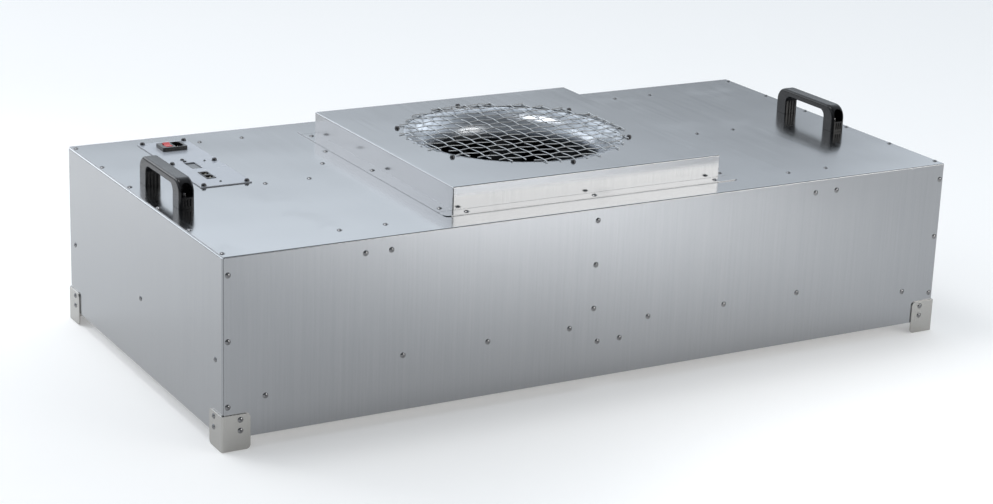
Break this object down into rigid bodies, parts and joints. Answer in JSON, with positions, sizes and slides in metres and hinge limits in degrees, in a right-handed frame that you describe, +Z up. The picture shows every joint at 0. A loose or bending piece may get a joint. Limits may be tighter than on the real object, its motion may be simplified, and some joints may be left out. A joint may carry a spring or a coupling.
{
  "type": "fan filter unit",
  "caption": "Long ceiling-grid fan filter unit: folded stainless casing on corner feet, wire-guarded round inlet on a low box, bridge handles and a control plate.",
  "frame": {"origin": "middle of the footprint, on the plane that the corner feet stand on", "axes": "+X along the casing, away from the end with the control plate; +Y from the front wall to the rear wall; +Z up, through the air inlet"},
  "size_m": [1.1828, 0.5828, 0.307],
  "materials": {
    "casing_steel": "fine vertical brushed grain",
    "foot_steel": "brushed plate",
    "guard_wire": "bright drawn wire",
    "screw_steel": "machine screws",
    "spun_steel": "spun, smooth",
    "galvanised": "galvanised sheet, dull",
    "isolator_rubber": "matte black",
    "motor_casting": "die cast",
    "rotor_paint": "black, satin",
    "winding": "varnished copper",
    "bearing_steel": "ground",
    "impeller_plastic": "moulded, black",
    "filter_aluminium": "anodised",
    "filter_media": "white glass-fibre paper",
    "gasket_foam": "closed-cell foam",
    "white_paint": "satin white",
    "board_green": "solder mask",
    "capacitor_can": "drawn can",
    "cable_jacket": "black jacket",
    "handle_plastic": "satin black, moulded",
    "plate_paint": "pale grey, satin",
    "module_plastic": "black",
    "pin_brass": "plated",
    "rocker_red": "red",
    "display_window": "dark grey window",
    "button_grey": "grey",
    "jack_plastic": "dark",
    "light_lens": "pale lens",
    "rivet_steel": "domed, bright"
  },
  "bodies": {
    "casing": {"casing_wrap": "casing_steel", "left_end_pan": "casing_steel", "right_end_pan": "casing_steel", "inlet_box": "casing_steel", "foot_front_left": "foot_steel", "foot_front_right": "foot_steel", "foot_rear_left": "foot_steel", "foot_rear_right": "foot_steel", "inlet_guard": "guard_wire", "guard_screws": "screw_steel", "handle_screws": "screw_steel", "plate_screws": "screw_steel", "bell_mouth": "spun_steel", "stiffener_left": "galvanised", "stiffener_right": "galvanised", "fan_deck": "galvanised", "vane_front": "galvanised", "vane_rear": "galvanised", "ledge_front": "galvanised", "ledge_rear": "galvanised", "ledge_left": "galvanised", "ledge_right": "galvanised", "motor_plate": "galvanised", "filter_clips": "galvanised", "control_box": "galvanised", "capacitor_strap": "galvanised", "cable_clips": "galvanised", "isolators": "isolator_rubber", "motor_stator": "motor_casting", "motor_winding": "winding", "bearing_lower": "bearing_steel", "bearing_upper": "bearing_steel", "filter_frame": "filter_aluminium", "filter_pleats": "filter_media", "filter_gasket": "gasket_foam", "filter_face_guard": "white_paint", "control_board": "board_green", "capacitor": "capacitor_can", "motor_cable": "cable_jacket", "left_handle": "handle_plastic", "right_handle": "handle_plastic", "control_plate": "plate_paint", "power_module": "module_plastic", "inlet_pins": "pin_brass", "display": "display_window", "jack_block": "jack_plastic", "status_lights": "light_lens", "rivets_front": "rivet_steel", "rivets_rear": "rivet_steel", "rivets_ends": "rivet_steel", "rivets_top": "rivet_steel", "rivets_box": "rivet_steel", "rivets_feet": "rivet_steel"},
    "impeller": {"rotor": "rotor_paint", "impeller_disc": "impeller_plastic", "impeller_shroud": "impeller_plastic", "impeller_screws": "screw_steel"},
    "rocker": {"rocker": "rocker_red"},
    "button_up": {"button_up": "button_grey"},
    "button_down": {"button_down": "button_grey"}
  },
  "joints": [
    {"name": "impeller_spin", "type": "hinge", "parent": "casing", "child": "impeller", "pos_m": [0, 0, 0.15], "axis": [0, 0, 1], "continuous": true},
    {"name": "rocker_tilt", "type": "hinge", "parent": "casing", "child": "rocker", "pos_m": [-0.46035, 0.216, 0.27], "axis": [-1, 0, 0], "range_deg": [0, 16]},
    {"name": "button_up_press", "type": "slide", "parent": "casing", "child": "button_up", "axis": [0, 0, -1], "range_m": [0, 0.0006], "stiffness_N_per_m": 400, "springref_m": -0.002},
    {"name": "button_down_press", "type": "slide", "parent": "casing", "child": "button_down", "axis": [0, 0, -1], "range_m": [0, 0.0006], "stiffness_N_per_m": 400, "springref_m": -0.002}
  ]
}
